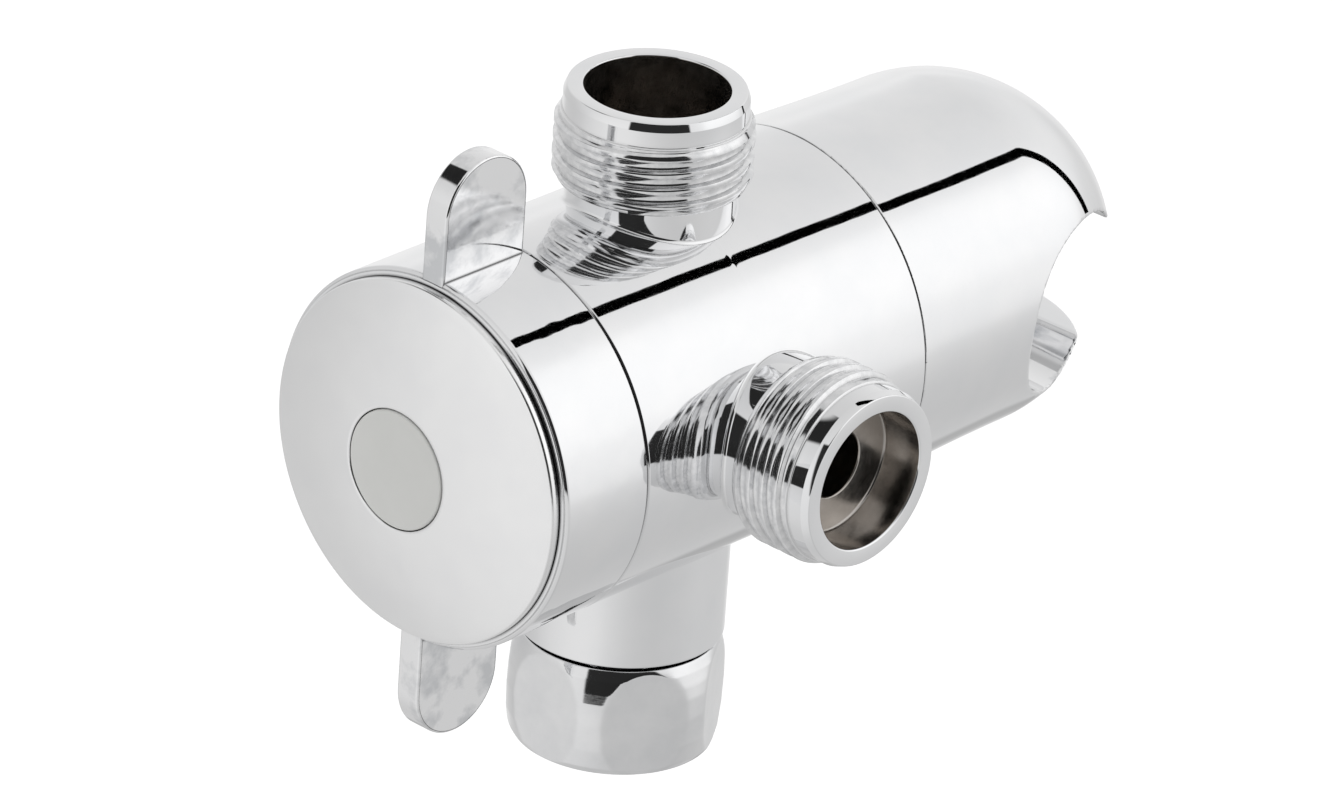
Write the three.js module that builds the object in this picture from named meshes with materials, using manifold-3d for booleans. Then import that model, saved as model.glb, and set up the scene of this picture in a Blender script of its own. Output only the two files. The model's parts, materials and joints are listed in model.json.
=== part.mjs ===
// A chrome three-way diverter valve for a shower arm: turning knob, top and side outlets, swivel inlet nut
// and a turning handset cradle. Millimetres, +Z up.
// The shapes are drawn in the valve's own frame, whose origin is where the outlet axes cross the main axis.
// The main axis is X, from the knob (-X) to the cradle (+X). The top outlet points along +Z, the side outlet
// along -Y and the inlet along -Z. At the end every shape is lifted so that the origin of the part is the
// centre of the inlet nut's open bottom face.
import * as THREE from 'three';
import { mergeVertices } from 'three/addons/utils/BufferGeometryUtils.js';
import Module from 'manifold-3d';

const wasm = await Module();
wasm.setup();

// ---------------------------------------------------------------- driving sizes
const MAIN_R = 20.55;          // knob, body and the near end of the cradle share this radius
const KNOB_FRONT = -32.25;     // front rim of the knob
const KNOB_BACK = -20.45;
const BODY_FRONT = -20.15;
const BODY_BACK = 21.85;
const BRACKET_FRONT = 22.15;
const EDGE = 0.35;             // small chamfer that makes the V grooves between the turning pieces
const NUT_BOTTOM = -42.3;      // also the height of the main axis above the origin of the part

// male half-inch pipe threads (20.955 outside, 14 to the inch)
const CREST_R = 10.478;
const ROOT_R = 9.6;
const PITCH = 1.83;
const CRESTS = 4;
const NOSE_R = 9.7;
const FACE_R = 9.37;
const NECK_R = 8.95;

const TOP_FACE = 32.7;
const TOP_BORE_R = 7.64;
const TOP_BORE_END = 16;
const TOP_HOLE_R = 4.5;
const SIDE_FACE = 32.9;
const SIDE_BORE_R = 7.54;
const SIDE_BORE_END = 28;
const SIDE_HOLE_R = 3.6;
const NOSE_LENGTH = 2.8;
const SEAL_POCKET_END = 13.2;

// inlet tail below the neck
const INLET_NECK_R = 11.1;
const INLET_NECK_END = -29.5;
const TAIL_R = 7.3;
const TAIL_END = -36;
const RING_GROOVE = -34;         // lower side of the groove for the nut's retaining ring
const INLET_BORE_R = 5.5;

// chamber and rotor
const CHAMBER_R = 11;
const CHAMBER_BACK = 8.5;
const BONNET_SEAT = -11;
const BONNET_BORE_R = 13;
const ROTOR_R = 10.8;
const STEM_R = 5;
const STEM_BORE_R = 5.2;
const DRIVE_R = 4.6;           // corner radius of the six-sided drive on the stem
const DRIVE_SOCKET_R = 4.85;

// knob
const PLATE_R = 18.85;         // the part of the face plate that sits in the knob's recess
const PLATE_EDGE_R = 19.6;     // its domed front, which stands out over the knob's rim
const PLATE_EDGE = KNOB_FRONT - 1;
const PLATE_SEAT = KNOB_FRONT + 1.5;
const KNOB_WEB_BACK = KNOB_FRONT + 4;
const HUB_END = KNOB_BACK - 0.35;
const DRIVE_END = -27.5;       // tip of the rotor's stem inside the knob
const KNOB_HOLLOW_R = 18.2;
const HUB_R = 7.5;
const WING_REACH = 33;
const WING_THICK = 3;
const DOME_RISE = 3.05;
const DOME_POWER = 2.4;
const PLATE_THICK = 1.3;
const BUTTON_R = 6.5;

// quarter-turn stop
const STOP_PIN_R = 1.15;
const STOP_RING_R = 16;

// cradle bracket
const DOME_CENTRE = 45.2;
const DOME_R = 19.8;
const CRADLE_X = 50.8;
const CRADLE_Z = -1.9;
const CRADLE_R_WIDE = 10.3;    // on the side of the side outlet
const CRADLE_R_NARROW = 9.3;
const SLOT_LOW = -9.5;
const SLOT_HIGH = 4.7;
const RECESS_R = 15.2;         // recess in the back of the body that takes the bracket's hub
const RECESS_FLOOR = 12.7;
const BOSS_R = 6.2;
const BOSS_END = 20.7;
const HUB_TIP = 13.7;           // front end of the bracket's hub
const WEB_FRONT = 22.7;
const WEB_BACK = 30.7;

// ---------------------------------------------------------------- geometry helpers
const AXES = {
  x: new THREE.Matrix4().makeBasis(
    new THREE.Vector3(0, 0, 1), new THREE.Vector3(1, 0, 0), new THREE.Vector3(0, 1, 0)),
  z: new THREE.Matrix4().makeBasis(
    new THREE.Vector3(1, 0, 0), new THREE.Vector3(0, 0, 1), new THREE.Vector3(0, -1, 0)),
  minusY: new THREE.Matrix4().makeBasis(
    new THREE.Vector3(1, 0, 0), new THREE.Vector3(0, -1, 0), new THREE.Vector3(0, 0, -1)),
};

// makes a closed solid from a geometry, with its faces pointing out
function solidOf(geometry) {
  const plain = new THREE.BufferGeometry();
  plain.setAttribute('position', geometry.getAttribute('position'));
  if (geometry.index) plain.setIndex(geometry.index);
  const merged = mergeVertices(plain, 1e-4);
  const points = merged.getAttribute('position').array;
  const faces = Array.from(merged.index.array);
  const kept = [];
  let volume = 0;
  for (let i = 0; i < faces.length; i += 3) {
    const [a, b, c] = [faces[i], faces[i + 1], faces[i + 2]];
    if (a === b || b === c || a === c) continue;
    kept.push(a, b, c);
    const [ax, ay, az] = points.slice(a * 3, a * 3 + 3);
    const [bx, by, bz] = points.slice(b * 3, b * 3 + 3);
    const [cx, cy, cz] = points.slice(c * 3, c * 3 + 3);
    volume += ax * (by * cz - bz * cy) + ay * (bz * cx - bx * cz) + az * (bx * cy - by * cx);
  }
  if (volume < 0) {
    for (let i = 0; i < kept.length; i += 3) {
      [kept[i + 1], kept[i + 2]] = [kept[i + 2], kept[i + 1]];
    }
  }
  return new wasm.Manifold(new wasm.Mesh({
    numProp: 3,
    vertProperties: new Float32Array(points),
    triVerts: new Uint32Array(kept),
  }));
}

function geometryOf(solid) {
  const mesh = solid.getMesh();
  const geometry = new THREE.BufferGeometry();
  geometry.setAttribute('position', new THREE.BufferAttribute(new Float32Array(mesh.vertProperties), 3));
  geometry.setIndex(new THREE.BufferAttribute(new Uint32Array(mesh.triVerts), 1));
  return geometry;
}

// a turned solid: profile points are [radius, distance along the axis]
function turned(profile, axis = 'x', segments = 40, centre = [0, 0, 0]) {
  const points = profile.map(([radius, along]) => new THREE.Vector2(radius, along));
  const [first, last] = [profile[0], profile[profile.length - 1]];
  if (first[0] > 1e-6 || last[0] > 1e-6) points.push(points[0].clone());
  const geometry = new THREE.LatheGeometry(points, segments);
  geometry.applyMatrix4(AXES[axis]);
  geometry.translate(...centre);
  return solidOf(geometry);
}

function rod(radius, from, to, axis = 'x', segments = 40, centre = [0, 0, 0]) {
  return turned([[0, from], [radius, from], [radius, to], [0, to]], axis, segments, centre);
}

function tube(inner, outer, from, to, axis = 'x', segments = 40) {
  return turned([[inner, from], [outer, from], [outer, to], [inner, to]], axis, segments);
}

// an O-ring with a six-sided section
function roundRing(inner, outer, middle, halfWidth, axis = 'x', segments = 20) {
  const centre = (inner + outer) / 2;
  const half = (outer - inner) / 2;
  const profile = [];
  for (let i = 0; i < 6; i += 1) {
    const angle = i * Math.PI / 3;
    profile.push([centre + half * Math.cos(angle), middle + halfWidth * Math.sin(angle)]);
  }
  return turned(profile, axis, segments);
}

function box(x, y, z) {
  const geometry = new THREE.BoxGeometry(x[1] - x[0], y[1] - y[0], z[1] - z[0]);
  geometry.translate((x[0] + x[1]) / 2, (y[0] + y[1]) / 2, (z[0] + z[1]) / 2);
  return solidOf(geometry);
}

// a solid whose outline is drawn across the main axis, in Y and Z, and which runs from x = from to x = to
function alongX(outline, from, to) {
  const shape = new THREE.Shape(outline.map(([y, z]) => new THREE.Vector2(y, z)));
  const geometry = new THREE.ExtrudeGeometry(shape, { depth: to - from, bevelEnabled: false });
  geometry.applyMatrix4(new THREE.Matrix4().makeBasis(
    new THREE.Vector3(0, 1, 0), new THREE.Vector3(0, 0, 1), new THREE.Vector3(1, 0, 0)));
  geometry.translate(from, 0, 0);
  return solidOf(geometry);
}

// points of an arc in degrees
function arc(radius, from, to, steps) {
  const points = [];
  for (let i = 0; i <= steps; i += 1) {
    const angle = THREE.MathUtils.degToRad(from + (to - from) * i / steps);
    points.push([radius * Math.cos(angle), radius * Math.sin(angle)]);
  }
  return points;
}

// cross-shaped driver recess in a screw head that faces along X
function crossRecess(x) {
  return box(x, [-0.45, 0.45], [-2.1, 2.1]).add(box(x, [-2.1, 2.1], [-0.45, 0.45]));
}

// ---------------------------------------------------------------- valve body
// spigot of an outlet, from inside the body out to its sealing face
function outletProfile(face) {
  const threadEnd = face - NOSE_LENGTH;
  const threadStart = threadEnd - CRESTS * PITCH;
  const profile = [[0, 12], [NECK_R, 12], [NECK_R, threadStart]];
  for (let i = 0; i < CRESTS; i += 1) {
    const start = threadStart + i * PITCH;
    profile.push([ROOT_R, start + 0.05]);
    profile.push([CREST_R, start + 0.7]);
    profile.push([CREST_R, start + 1.1]);
  }
  profile.push([ROOT_R, threadEnd], [NOSE_R, threadEnd + 0.2], [NOSE_R, face - 1.0], [FACE_R, face], [0, face]);
  return profile;
}

function buildBody() {
  const stopY = STOP_RING_R * Math.SQRT1_2;
  let body = turned([
    [0, BODY_FRONT], [MAIN_R - EDGE, BODY_FRONT], [MAIN_R, BODY_FRONT + EDGE],
    [MAIN_R, BODY_BACK - EDGE], [MAIN_R - EDGE, BODY_BACK], [0, BODY_BACK],
  ], 'x', 48);
  body = body.add(turned(outletProfile(TOP_FACE), 'z', 24));
  body = body.add(turned(outletProfile(SIDE_FACE), 'minusY', 24));
  // inlet neck and the tail that the swivel nut turns on
  body = body.add(turned([
    [0, -12], [INLET_NECK_R, -12], [INLET_NECK_R, INLET_NECK_END + 0.3], [INLET_NECK_R - 0.3, INLET_NECK_END],
    [TAIL_R, INLET_NECK_END], [TAIL_R, RING_GROOVE + 1.2], [6.6, RING_GROOVE + 1.2], [6.6, RING_GROOVE],
    [TAIL_R, RING_GROOVE], [TAIL_R, TAIL_END], [0, TAIL_END],
  ], 'z', 36));
  // chamber with the wider bore for the bonnet
  body = body.subtract(turned([
    [0, CHAMBER_BACK], [CHAMBER_R, CHAMBER_BACK], [CHAMBER_R, BONNET_SEAT],
    [BONNET_BORE_R, BONNET_SEAT], [BONNET_BORE_R, BODY_FRONT - 1], [0, BODY_FRONT - 1],
  ], 'x', 36));
  // outlets: wide bore, smaller hole, pocket for the port seal
  body = body.subtract(turned([
    [0, 0], [5.8, 0], [5.8, SEAL_POCKET_END], [TOP_HOLE_R, SEAL_POCKET_END], [TOP_HOLE_R, TOP_BORE_END],
    [TOP_BORE_R, TOP_BORE_END], [TOP_BORE_R, TOP_FACE + 1], [0, TOP_FACE + 1],
  ], 'z', 24));
  body = body.subtract(turned([
    [0, 0], [5, 0], [5, SEAL_POCKET_END], [SIDE_HOLE_R, SEAL_POCKET_END], [SIDE_HOLE_R, SIDE_BORE_END],
    [SIDE_BORE_R, SIDE_BORE_END], [SIDE_BORE_R, SIDE_FACE + 1], [0, SIDE_FACE + 1],
  ], 'minusY', 24));
  body = body.subtract(rod(INLET_BORE_R, TAIL_END - 1, 0, 'z', 32));
  // recess for the bracket's hub, with the threaded boss left standing in it
  body = body.subtract(turned([
    [0, BOSS_END], [BOSS_R, BOSS_END], [BOSS_R, RECESS_FLOOR],
    [RECESS_R, RECESS_FLOOR], [RECESS_R, BODY_BACK + 1], [0, BODY_BACK + 1],
  ], 'x', 36));
  body = body.subtract(rod(2.5, 12, BOSS_END + 1, 'x', 20));
  body = body.subtract(rod(STOP_PIN_R + 0.1, BODY_FRONT - 1, -16, 'x', 16, [0, stopY, stopY]));
  return body;
}

// ---------------------------------------------------------------- knob group
// rest position: wings upright, top outlet open
function wing(side) {
  const half = (KNOB_BACK - KNOB_FRONT) / 2;
  const middle = (KNOB_BACK + KNOB_FRONT) / 2;
  const outline = [[middle - half, 15], [middle + half, 15]];
  for (const [x, z] of arc(half, 0, 180, 14)) {
    outline.push([middle + x, WING_REACH - half + z]);
  }
  const shape = new THREE.Shape(outline.map(([x, z]) => new THREE.Vector2(x, z * side)));
  const geometry = new THREE.ExtrudeGeometry(shape, { depth: WING_THICK, bevelEnabled: false });
  geometry.rotateX(Math.PI / 2);
  geometry.translate(0, WING_THICK / 2, 0);
  return solidOf(geometry);
}

// rib inside the knob that runs against the stop pin
function stopRib(angle) {
  const [front, back] = [KNOB_WEB_BACK - 0.2, KNOB_BACK - 0.65];
  const geometry = new THREE.BoxGeometry(back - front, 3.9, 2.2);
  geometry.translate((front + back) / 2, 14.8 + 3.9 / 2, 0);
  geometry.rotateX(THREE.MathUtils.degToRad(angle));
  return solidOf(geometry);
}

function buildKnob() {
  let knob = turned([
    [2.3, PLATE_SEAT], [PLATE_R + 0.2, PLATE_SEAT], [PLATE_R + 0.2, KNOB_FRONT + 0.3], [PLATE_R + 0.5, KNOB_FRONT],
    [MAIN_R - EDGE, KNOB_FRONT], [MAIN_R, KNOB_FRONT + EDGE], [MAIN_R, KNOB_BACK - EDGE],
    [MAIN_R - EDGE, KNOB_BACK], [KNOB_HOLLOW_R, KNOB_BACK], [KNOB_HOLLOW_R, KNOB_WEB_BACK],
    [HUB_R, KNOB_WEB_BACK], [HUB_R, HUB_END], [2.3, HUB_END],
  ], 'x', 48);
  // the wings start inside the rim, so the hollow is cut again after they are added
  let wings = wing(1).add(wing(-1));
  wings = wings.subtract(rod(MAIN_R - 1, KNOB_FRONT - 1, KNOB_BACK + 1, 'x', 48));
  knob = knob.add(wings);
  for (const angle of [30, 150]) knob = knob.add(stopRib(angle));
  return knob.subtract(rod(DRIVE_SOCKET_R, DRIVE_END - 0.2, KNOB_BACK, 'x', 6));
}

function domeAt(radius) {
  return PLATE_EDGE - DOME_RISE * (1 - (radius / PLATE_EDGE_R) ** DOME_POWER);
}

function buildFacePlate() {
  const ledge = domeAt(BUTTON_R + 0.15) + 1.25;
  const profile = [[BUTTON_R + 0.15, ledge], [BUTTON_R + 0.15, domeAt(BUTTON_R + 0.15)]];
  for (const radius of [10, 13, 15.5, 17.7, 19.35]) profile.push([radius, domeAt(radius)]);
  profile.push([PLATE_EDGE_R, PLATE_EDGE + 0.2], [PLATE_EDGE_R, KNOB_FRONT - 0.2], [PLATE_R, KNOB_FRONT - 0.2]);
  profile.push([PLATE_R, PLATE_SEAT - 0.15], [17.2, PLATE_SEAT - 0.15]);
  for (const radius of [15, 11]) profile.push([radius, domeAt(radius) + PLATE_THICK]);
  profile.push([6.2, ledge + 1.1], [5.1, ledge + 1.1], [5.1, ledge]);
  return turned(profile, 'x', 40);
}

function buildButton() {
  const front = domeAt(BUTTON_R) - 0.05;
  const back = domeAt(BUTTON_R + 0.15) + 1.15;
  return turned([
    [0, front], [BUTTON_R - 0.3, front], [BUTTON_R, front + 0.3], [BUTTON_R, back],
    [4.8, back], [4.8, back + 1.3], [0, back + 1.3],
  ], 'x', 30);
}

function buildKnobScrew() {
  const screw = turned([
    [0, PLATE_SEAT - 2.2], [2.8, PLATE_SEAT - 2.2], [3.6, PLATE_SEAT - 1.5], [3.6, PLATE_SEAT - 0.05],
    [1.9, PLATE_SEAT - 0.05], [1.9, -21.3], [1.4, -20.8], [0, -20.8],
  ], 'x', 22);
  return screw.subtract(crossRecess([PLATE_SEAT - 3, PLATE_SEAT - 1.1]));
}

// One wall of the rotor covers the side port at rest and the top port after a quarter turn.
function buildRotor() {
  let rotor = turned([
    [0, 8.2], [ROTOR_R, 8.2], [ROTOR_R, 7.7], [9.4, 7.7], [9.4, 5.7], [ROTOR_R, 5.7],
    [ROTOR_R, -5.7], [9.4, -5.7], [9.4, -7.7], [ROTOR_R, -7.7], [ROTOR_R, -10.7],
    [STEM_R, -10.7], [STEM_R, -13.4], [3.7, -13.4], [3.7, -15.2], [STEM_R, -15.2],
    [STEM_R, -16.5], [3.7, -16.5], [3.7, -18.3], [STEM_R, -18.3], [STEM_R, -20.4], [0, -20.4],
  ], 'x', 30);
  rotor = rotor.add(rod(DRIVE_R, DRIVE_END, -20, 'x', 6));
  const open = [...arc(12, -148, 142, 24), ...arc(3.4, 142, -148, 16)];
  rotor = rotor.subtract(alongX(open, -4.6, 4.6));
  return rotor.subtract(rod(2.1, DRIVE_END - 1, -20.5, 'x', 20));
}

// ---------------------------------------------------------------- bonnet
function buildBonnet() {
  let bonnet = turned([
    [STEM_BORE_R, -19.7], [BONNET_BORE_R - 0.15, -19.7], [BONNET_BORE_R - 0.15, -15.2],
    [11.4, -15.2], [11.4, -13.2], [BONNET_BORE_R - 0.15, -13.2], [BONNET_BORE_R - 0.15, -11.15],
    [STEM_BORE_R, -11.15],
  ], 'x', 30);
  // slots for the pin spanner
  bonnet = bonnet.subtract(box([-21, -18], [-14, -9.5], [-1.2, 1.2]));
  return bonnet.subtract(box([-21, -18], [9.5, 14], [-1.2, 1.2]));
}

// ---------------------------------------------------------------- inlet group
function buildNut() {
  const top = INLET_NECK_END - 0.55;
  const profile = [
    [9.9, NUT_BOTTOM], [10.9, NUT_BOTTOM], [11.35, NUT_BOTTOM + 0.9], [11.7, NUT_BOTTOM + 3.2],
    [11.75, NUT_BOTTOM + 5.6], [11.7, NUT_BOTTOM + 7.8], [11.3, top - 0.9], [10.75, top],
    [7.6, top], [7.6, top - 2.4], [9.9, top - 2.4],
  ];
  for (const crest of [35.2, 37, 38.8, 40.6]) profile.push([9.9, 0.9 - crest], [9.4, -crest]);
  profile.push([9.4, NUT_BOTTOM + 0.6]);
  const nut = turned(profile, 'z', 30);
  const hexagon = rod(10.75 / Math.cos(Math.PI / 6), NUT_BOTTOM - 1, top + 1, 'z', 6);
  return nut.intersect(hexagon);
}

function buildScreen() {
  let screen = rod(8.9, -39.2, -38.6, 'z', 24);
  for (const [ringRadius, count] of [[0, 1], [2.5, 6], [5, 12]]) {
    for (let i = 0; i < count; i += 1) {
      const angle = i * 2 * Math.PI / count;
      const centre = [ringRadius * Math.cos(angle), ringRadius * Math.sin(angle), 0];
      screen = screen.subtract(rod(0.85, -40, -38, 'z', 6, centre));
    }
  }
  return screen;
}

// ---------------------------------------------------------------- handset cradle
function buildBracket() {
  const profile = [
    [0, WEB_FRONT], [7, WEB_FRONT], [7, HUB_TIP], [14, HUB_TIP], [14, BRACKET_FRONT],
    [MAIN_R - EDGE, BRACKET_FRONT], [MAIN_R, BRACKET_FRONT + EDGE], [20.3, 33], [DOME_R, DOME_CENTRE],
  ];
  for (let i = 1; i <= 9; i += 1) {
    const angle = i * Math.PI / 18;
    profile.push([i === 9 ? 0 : DOME_R * Math.cos(angle), DOME_CENTRE + DOME_R * Math.sin(angle)]);
  }
  let bracket = turned(profile, 'x', 48);
  const grip = turned([
    [0, 21], [CRADLE_R_WIDE + 0.05, 21], [CRADLE_R_NARROW - 0.05, -21], [0, -21],
  ], 'minusY', 44, [CRADLE_X, 0, CRADLE_Z]);
  bracket = bracket.subtract(grip);
  bracket = bracket.subtract(box([CRADLE_X, 70], [-22, 22], [SLOT_LOW, SLOT_HIGH]));
  bracket = bracket.subtract(rod(2.7, 20, 33, 'x', 20));
  return bracket.subtract(rod(5.5, WEB_BACK, 44, 'x', 32));
}

function buildBracketScrew() {
  const screw = turned([
    [0, 12.4], [1.8, 12.4], [2.35, 13.1], [2.35, WEB_BACK + 1.05], [4.2, WEB_BACK + 1.05],
    [4.2, WEB_BACK + 3.4], [3.4, WEB_BACK + 4.2], [0, WEB_BACK + 4.2],
  ], 'x', 22);
  return screw.subtract(crossRecess([WEB_BACK + 3, WEB_BACK + 5]));
}

// ---------------------------------------------------------------- materials and assembly
const MATERIALS = {
  chrome: { color: 0xd6d8da, roughness: 0.06, metalness: 1 },
  satin: { color: 0xd2d3d3, roughness: 0.28, metalness: 1 },
  brass: { color: 0xc2a054, roughness: 0.32, metalness: 1 },
  steel: { color: 0xb4b6b8, roughness: 0.3, metalness: 1 },
  rubber: { color: 0x1d1d1e, roughness: 0.85, metalness: 0 },
  plastic: { color: 0xe9e6dc, roughness: 0.45, metalness: 0 },
  button: { color: 0xbfc0bb, roughness: 0.5, metalness: 0 },
};

const stopOffset = STOP_RING_R * Math.SQRT1_2;
const PIECES = [
  ['valve_body', 'chrome', buildBody()],
  ['knob', 'chrome', buildKnob()],
  ['knob_face_plate', 'satin', buildFacePlate()],
  ['knob_button', 'button', buildButton()],
  ['knob_screw', 'steel', buildKnobScrew()],
  ['rotor', 'brass', buildRotor()],
  ['stem_o_ring_front', 'rubber', roundRing(3.85, 5.08, -17.4, 0.7)],
  ['stem_o_ring_back', 'rubber', roundRing(3.85, 5.08, -14.3, 0.7)],
  ['rotor_o_ring_front', 'rubber', roundRing(9.6, 10.88, -6.7, 0.8)],
  ['rotor_o_ring_back', 'rubber', roundRing(9.6, 10.88, 6.7, 0.8)],
  ['bonnet', 'brass', buildBonnet()],
  ['bonnet_o_ring', 'rubber', roundRing(11.65, 12.85, -14.2, 0.8)],
  ['top_port_seal', 'rubber', tube(4.5, 5.65, 11.3, 13.1, 'z', 28)],
  ['side_port_seal', 'rubber', tube(3.6, 4.85, 11.3, 13.1, 'minusY', 28)],
  ['stop_pin', 'steel', rod(STOP_PIN_R, -23.7, -16.1, 'x', 16, [0, stopOffset, stopOffset])],
  ['swivel_nut', 'chrome', buildNut()],
  ['nut_retaining_ring', 'steel', tube(6.75, 8.5, RING_GROOVE + 0.15, RING_GROOVE + 1.05, 'z', 28)],
  ['inlet_washer', 'rubber', tube(5.5, 9.1, -38.5, TAIL_END - 0.15, 'z', 28)],
  ['inlet_screen', 'steel', buildScreen()],
  ['cradle_bracket', 'chrome', buildBracket()],
  ['bracket_bushing', 'plastic', tube(14.25, 15.05, RECESS_FLOOR + 0.15, 21.5, 'x', 30)],
  ['thrust_washer', 'plastic', tube(7, 14, RECESS_FLOOR + 0.1, HUB_TIP - 0.15, 'x', 30)],
  ['friction_washer', 'plastic', tube(2.65, 6, BOSS_END + 0.1, BOSS_END + 0.95, 'x', 22)],
  ['wave_washer', 'steel', tube(2.75, 6.3, BOSS_END + 1.1, WEB_FRONT - 0.15, 'x', 22)],
  ['bracket_screw', 'steel', buildBracketScrew()],
  ['bracket_screw_washer', 'steel', tube(2.6, 5, WEB_BACK + 0.1, WEB_BACK + 0.95, 'x', 22)],
];

const assembly = new THREE.Group();
assembly.name = 'diverter_valve';
for (const [name, material, solid] of PIECES) {
  const geometry = geometryOf(solid);
  geometry.translate(0, 0, -NUT_BOTTOM);
  const mesh = new THREE.Mesh(geometry, new THREE.MeshStandardMaterial(MATERIALS[material]));
  mesh.name = name;
  assembly.add(mesh);
}

export default assembly;
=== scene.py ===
"""Looks of a chrome three-way shower diverter valve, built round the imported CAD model.

All sizes below are millimetres in the valve's own frame: X runs along the main axis from the knob to the
cradle, +Z through the top outlet, -Y out of the side outlet, and the origin is where the outlet axes meet.
place() lifts that frame to the row frame, whose origin is the centre of the inlet nut's open face.
"""

import json
import math

import bmesh
import bpy
import numpy as np
from mathutils import Matrix


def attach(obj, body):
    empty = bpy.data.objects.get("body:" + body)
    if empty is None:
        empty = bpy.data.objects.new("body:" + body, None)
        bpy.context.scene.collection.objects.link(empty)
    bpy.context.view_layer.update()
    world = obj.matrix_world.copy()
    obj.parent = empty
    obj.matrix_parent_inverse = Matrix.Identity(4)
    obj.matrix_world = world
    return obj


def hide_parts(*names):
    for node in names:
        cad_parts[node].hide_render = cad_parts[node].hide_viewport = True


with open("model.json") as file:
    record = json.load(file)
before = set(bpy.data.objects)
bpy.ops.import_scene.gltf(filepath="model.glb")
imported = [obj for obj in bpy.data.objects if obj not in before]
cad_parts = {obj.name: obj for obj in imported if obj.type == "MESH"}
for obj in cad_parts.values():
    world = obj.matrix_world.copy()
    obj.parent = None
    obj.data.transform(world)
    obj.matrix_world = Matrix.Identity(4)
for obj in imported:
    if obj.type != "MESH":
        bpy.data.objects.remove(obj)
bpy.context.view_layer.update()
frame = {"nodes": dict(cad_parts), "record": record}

MM, MICRON = 1e-3, 1e-6
AXIS_HEIGHT = 42.3
ROUND = 256          # columns round a turned surface
CRADLE_CELL = 0.36  # grid of the cradle's skin
BARREL_STEP = 0.4   # rows along the barrel where the spigots stand

# ---------------------------------------------------------------- sizes
MAIN_R = 20.55
KNOB_FRONT, KNOB_BACK = -32.25, -20.45
BODY_FRONT = -20.15
BRACKET_FRONT = 22.15
SEAM_X = 0.28                             # mould seam round the barrel
JOINT_FRONT, JOINT_BACK = -20.21, 22.09    # the visible skins meet more closely than the running faces

CREST_R, ROOT_R, PITCH, TURNS = 10.478, 9.94, 1.85, 3.95
NOSE_R, FACE_R, NECK_R, NOSE_LENGTH = 9.7, 9.37, 8.95, 2.85
TOP_FACE, TOP_BORE_R, TOP_BORE_END, TOP_HOLE_R = 32.7, 7.64, 16.0, 4.5
SIDE_FACE, SIDE_BORE_R, SIDE_BORE_END, SIDE_HOLE_R = 32.9, 7.54, 28.0, 3.6
SEAL_POCKET, SEAL_POCKET_END, SEAL_POCKET_STEP = 13.2, 10.9, 1.3
NECK_FILLET, FILLET_STEPS, SKIN_OVERLAP = 0.45, 7, 0.65

INLET_NECK_R, INLET_NECK_END = 11.1, -29.5
TAIL_R, TAIL_END, TAIL_BORE_R = 7.3, -36.0, 5.5
NUT_BOTTOM, NUT_TOP, THREAD_TOP, NUT_LIP = -42.3, -30.05, -33.4, 2.4
NUT_ROOT_R, NUT_CREST_R, NUT_NECK_R = 9.9, 9.38, 7.6
FLAT_DISTANCE = 10.75

PLATE_R, PLATE_EDGE_R, DOME_RISE, DOME_POWER, BUTTON_R = 18.85, 19.6, 3.05, 2.4, 6.5
WING_REACH, WING_THICK, WING_ROOT = 33.0, 3.0, 19.6

DOME_CENTRE, DOME_R = 45.2, 19.8
CRADLE_X, CRADLE_Z, CRADLE_R_WIDE, CRADLE_R_NARROW = 50.8, -1.9, 10.3, 9.3
SLOT_LOW, SLOT_HIGH, FIELD_END = -9.5, 4.7, 66.5
SINK_R, SINK_X = 5.5, 30.7                # hole for the head of the cradle's screw


# ---------------------------------------------------------------- mesh helpers
def place(points):
    """Valve frame in millimetres to row frame in metres."""
    return (np.asarray(points, float) + [0.0, 0.0, AXIS_HEIGHT]) * MM


def rounded(corners, radius=0.25, steps=4):
    """A profile whose inner corners are rounded; a third number on a corner is its own radius."""
    out = [np.array(corners[0][:2], float)]
    for before, here, after in zip(corners, corners[1:], corners[2:]):
        size = here[2] if len(here) > 2 else radius
        before, here, after = (np.array(p[:2], float) for p in (before, here, after))
        a, b = before - here, after - here
        length_a, length_b = np.linalg.norm(a), np.linalg.norm(b)
        a, b = a / length_a, b / length_b
        half = math.acos(max(-1.0, min(1.0, float(a @ b)))) / 2
        if size <= 0 or half > 1.52:
            out.append(here)
            continue
        reach = min(size / math.tan(half), 0.45 * length_a, 0.45 * length_b)
        size = reach * math.tan(half)
        centre = here + (a + b) / np.linalg.norm(a + b) * size / math.sin(half)
        start, end = here + a * reach - centre, here + b * reach - centre
        for i in range(steps + 1):
            t = i / steps
            spoke = start * (1 - t) + end * t
            out.append(centre + spoke / np.linalg.norm(spoke) * size)
    out.append(np.array(corners[-1][:2], float))
    return np.array(out)


def round_rows(radii, heights, columns=ROUND):
    """Rows of points round the Z axis. radii and heights are single numbers or one value per column."""
    turn = np.linspace(0, 2 * math.pi, columns + 1)
    rows = []
    for radius, height in zip(radii, heights):
        radius = np.broadcast_to(radius, turn.shape)
        height = np.broadcast_to(height, turn.shape)
        rows.append(np.stack([radius * np.cos(turn), radius * np.sin(turn), height], 1))
    return np.array(rows)


def along_x(points):
    """Turns a shape drawn round Z so that its axis is +X."""
    return np.stack([points[..., 2], points[..., 0], points[..., 1]], -1)


def to_side(points):
    """Turns a shape drawn up the Z axis so that it points along -Y."""
    return np.stack([points[..., 0], -points[..., 2], points[..., 1]], -1)


def to_below(points):
    """Turns a shape drawn up the Z axis so that it points along -Z."""
    return np.stack([points[..., 0], -points[..., 1], -points[..., 2]], -1)


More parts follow.
